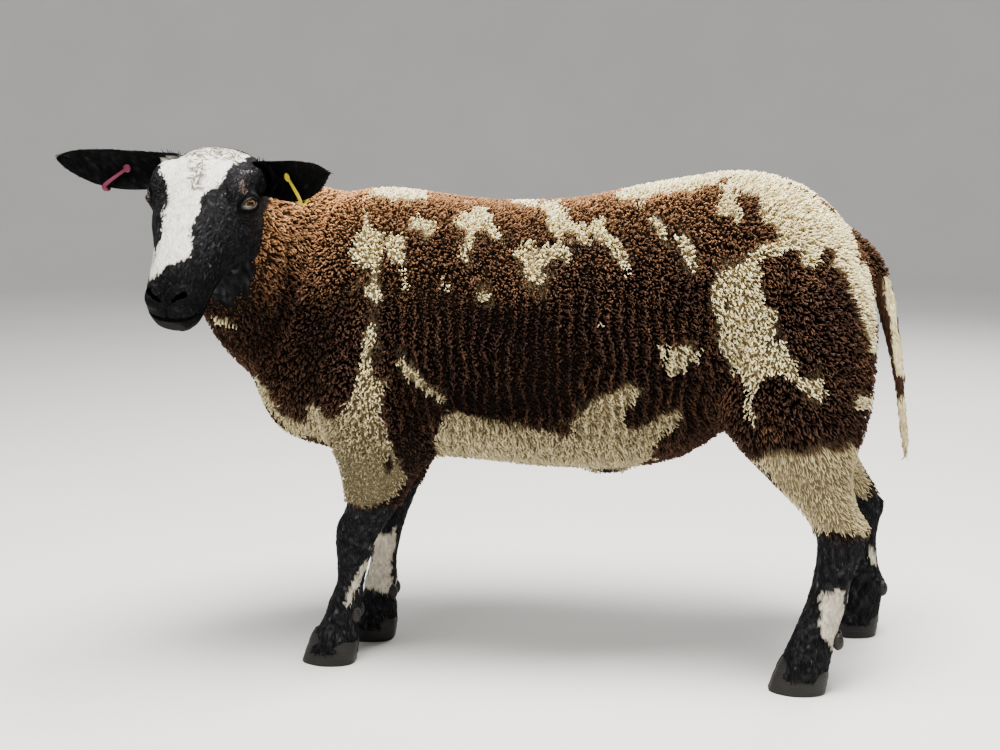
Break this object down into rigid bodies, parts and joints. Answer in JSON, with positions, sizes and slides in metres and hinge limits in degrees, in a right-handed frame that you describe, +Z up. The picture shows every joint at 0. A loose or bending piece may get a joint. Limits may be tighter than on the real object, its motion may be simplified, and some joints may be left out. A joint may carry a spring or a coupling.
{
  "type": "dutch spotted sheep",
  "caption": "Standing life-size sheep with a short curly spotted fleece, a white blaze, its head turned to its left and a slim tag in each ear",
  "frame": {"origin": "on the floor under the middle of the bounding box", "axes": "the sheep faces -X, its left side is towards -Y and +Z is up"},
  "size_m": [1.2534, 0.5648, 0.7904],
  "materials": {
    "fleece": "matt, tight curls",
    "tail_wool": "matt wool",
    "face_hair": "short glossy hair",
    "ear_hair": "short hair",
    "leg_hair": "short hair",
    "eye": "wet gloss",
    "hoof_horn": "worn horn",
    "tag_yellow": "moulded",
    "tag_red": "moulded"
  },
  "bodies": {
    "root": {"torso": "fleece", "neck": "fleece", "tail": "tail_wool", "head": "face_hair", "ear_left": "ear_hair", "ear_right": "ear_hair", "eye_left": "eye", "eye_right": "eye", "upper_leg_fore_left": "fleece", "upper_leg_fore_right": "fleece", "upper_leg_hind_left": "fleece", "upper_leg_hind_right": "fleece", "lower_leg_fore_left": "leg_hair", "lower_leg_fore_right": "leg_hair", "lower_leg_hind_left": "leg_hair", "lower_leg_hind_right": "leg_hair", "hoof_fore_left_outer": "hoof_horn", "hoof_fore_left_inner": "hoof_horn", "hoof_fore_right_outer": "hoof_horn", "hoof_fore_right_inner": "hoof_horn", "hoof_hind_left_outer": "hoof_horn", "hoof_hind_left_inner": "hoof_horn", "hoof_hind_right_outer": "hoof_horn", "hoof_hind_right_inner": "hoof_horn", "ear_tag_left": "tag_yellow", "ear_tag_right": "tag_red"}
  },
  "joints": []
}
